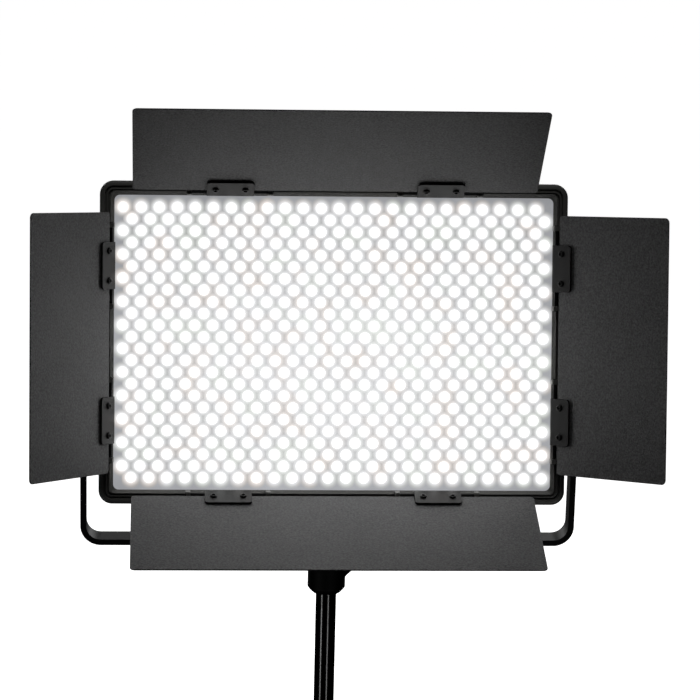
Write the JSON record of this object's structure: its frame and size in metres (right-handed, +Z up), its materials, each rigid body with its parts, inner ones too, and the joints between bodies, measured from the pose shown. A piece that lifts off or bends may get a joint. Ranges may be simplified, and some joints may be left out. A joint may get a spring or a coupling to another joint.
{
  "type": "led panel light",
  "caption": "Rectangular LED panel light with a domed-lens face and four folding barn doors, tilting in a flat-bar yoke on a stand socket.",
  "frame": {"origin": "centre of the stand socket's mouth, where the light stand's stud enters", "axes": "+Z up along the stand, -Y the way the lit face looks, +X to the viewer's right when facing the lit face"},
  "size_m": [0.501, 0.2359, 0.4324],
  "materials": {
    "leaf_paint": "black powder coat on sheet aluminium, fine speckle",
    "yoke_paint": "satin black powder coat",
    "housing_plastic": "black moulded ABS with a fine spark-eroded texture",
    "bezel_plastic": "black moulded plastic, slightly satin",
    "knob_plastic": "black moulded nylon",
    "button_rubber": "dark grey silicone rubber",
    "black_steel": "black oxide or black painted steel",
    "bright_steel": "plated steel",
    "aluminium": "plain aluminium",
    "lens_plastic": "frosted moulded acrylic with small domed lenses, lit from behind",
    "board_white": "white solder mask",
    "board_green": "green solder mask",
    "display_glass": "dark display window",
    "washer_fibre": "pressed fibre friction washer"
  },
  "bodies": {
    "yoke": {"yoke_bracket": "yoke_paint", "stand_socket": "yoke_paint", "socket_cap": "yoke_paint", "socket_bolt": "black_steel"},
    "socket_knob": {"socket_clamp_knob": "knob_plastic", "socket_clamp_screw": "black_steel"},
    "head": {"front_bezel": "bezel_plastic", "lens_plate": "lens_plastic", "led_board": "board_white", "heat_spreader": "aluminium", "driver_board": "board_green", "rear_housing": "housing_plastic", "pivot_boss_left": "aluminium", "pivot_boss_right": "aluminium", "friction_washer_left": "washer_fibre", "friction_washer_right": "washer_fibre", "control_panel": "housing_plastic", "display_window": "display_glass", "switch_frame": "housing_plastic", "dc_socket": "black_steel", "dc_insert": "knob_plastic", "battery_plate": "housing_plastic", "battery_contacts": "knob_plastic", "hinge_rod_top_a": "black_steel", "hinge_rod_top_b": "black_steel", "hinge_rod_bottom_a": "black_steel", "hinge_rod_bottom_b": "black_steel", "hinge_rod_left_a": "black_steel", "hinge_rod_left_b": "black_steel", "hinge_rod_right_a": "black_steel", "hinge_rod_right_b": "black_steel"},
    "tilt_knob_left": {"tilt_knob_left": "knob_plastic", "tilt_stud_left": "black_steel"},
    "tilt_knob_right": {"tilt_knob_right": "knob_plastic", "tilt_stud_right": "black_steel"},
    "leaf_top": {"barn_leaf_top": "leaf_paint", "hinge_plate_top_a": "black_steel", "hinge_plate_top_b": "black_steel"},
    "leaf_bottom": {"barn_leaf_bottom": "leaf_paint", "hinge_plate_bottom_a": "black_steel", "hinge_plate_bottom_b": "black_steel"},
    "leaf_left": {"barn_leaf_left": "leaf_paint", "hinge_plate_left_a": "black_steel", "hinge_plate_left_b": "black_steel"},
    "leaf_right": {"barn_leaf_right": "leaf_paint", "hinge_plate_right_a": "black_steel", "hinge_plate_right_b": "black_steel"},
    "button_1": {"panel_button_1": "button_rubber"},
    "button_2": {"panel_button_2": "button_rubber"},
    "button_3": {"panel_button_3": "button_rubber"},
    "brightness_dial": {"brightness_knob": "knob_plastic", "brightness_shaft": "bright_steel"},
    "color_dial": {"color_knob": "knob_plastic", "color_shaft": "bright_steel"},
    "power_switch": {"power_rocker": "knob_plastic"},
    "battery_release": {"battery_release_button": "button_rubber"}
  },
  "joints": [
    {"name": "head_tilt", "type": "hinge", "parent": "yoke", "child": "head", "pos_m": [0, 0, 0.2181], "axis": [1, 0, 0], "range_deg": [-76, 31]},
    {"name": "socket_clamp_turn", "type": "hinge", "parent": "yoke", "child": "socket_knob", "pos_m": [0.035, 0, 0.0295], "axis": [1, 0, 0], "range_deg": [0, 720]},
    {"name": "tilt_lock_left_turn", "type": "hinge", "parent": "head", "child": "tilt_knob_left", "pos_m": [-0.2124, 0, 0.2181], "axis": [-1, 0, 0], "range_deg": [0, 540]},
    {"name": "tilt_lock_right_turn", "type": "hinge", "parent": "head", "child": "tilt_knob_right", "pos_m": [0.2124, 0, 0.2181], "axis": [1, 0, 0], "range_deg": [0, 540]},
    {"name": "leaf_top_hinge", "type": "hinge", "parent": "head", "child": "leaf_top", "pos_m": [0, -0.00481, 0.34555], "axis": [1, 0, 0], "range_deg": [-56.6, 114.4]},
    {"name": "leaf_bottom_hinge", "type": "hinge", "parent": "head", "child": "leaf_bottom", "pos_m": [0, -0.06408, 0.10783], "axis": [-1, 0, 0], "range_deg": [-65.6, 105.4]},
    {"name": "leaf_left_hinge", "type": "hinge", "parent": "head", "child": "leaf_left", "pos_m": [-0.1805, -0.03154, 0.22596], "axis": [0, 0.2419, 0.9703], "range_deg": [-58.5, 120.5]},
    {"name": "leaf_right_hinge", "type": "hinge", "parent": "head", "child": "leaf_right", "pos_m": [0.1805, -0.03154, 0.22596], "axis": [0, -0.2419, -0.9703], "range_deg": [-48.4, 130.6]},
    {"name": "button_1_press", "type": "slide", "parent": "head", "child": "button_1", "axis": [0, -0.9703, 0.2419], "range_m": [0, 0.0012], "stiffness_N_per_m": 600, "springref_m": -0.001},
    {"name": "button_2_press", "type": "slide", "parent": "head", "child": "button_2", "axis": [0, -0.9703, 0.2419], "range_m": [0, 0.0012], "stiffness_N_per_m": 600, "springref_m": -0.001},
    {"name": "button_3_press", "type": "slide", "parent": "head", "child": "button_3", "axis": [0, -0.9703, 0.2419], "range_m": [0, 0.0012], "stiffness_N_per_m": 600, "springref_m": -0.001},
    {"name": "brightness_turn", "type": "hinge", "parent": "head", "child": "brightness_dial", "pos_m": [-0.055, 0.00855, 0.12837], "axis": [0, 0.9703, -0.2419], "range_deg": [-45, 225]},
    {"name": "color_turn", "type": "hinge", "parent": "head", "child": "color_dial", "pos_m": [-0.024, 0.00855, 0.12837], "axis": [0, 0.9703, -0.2419], "range_deg": [-135, 135]},
    {"name": "power_rock", "type": "hinge", "parent": "head", "child": "power_switch", "pos_m": [-0.086, 0.00515, 0.12921], "axis": [0, 0.2419, 0.9703], "range_deg": [-12, 0]},
    {"name": "battery_release_press", "type": "slide", "parent": "head", "child": "battery_release", "axis": [0, -0.9703, 0.2419], "range_m": [0, 0.003], "stiffness_N_per_m": 700, "springref_m": -0.001}
  ]
}
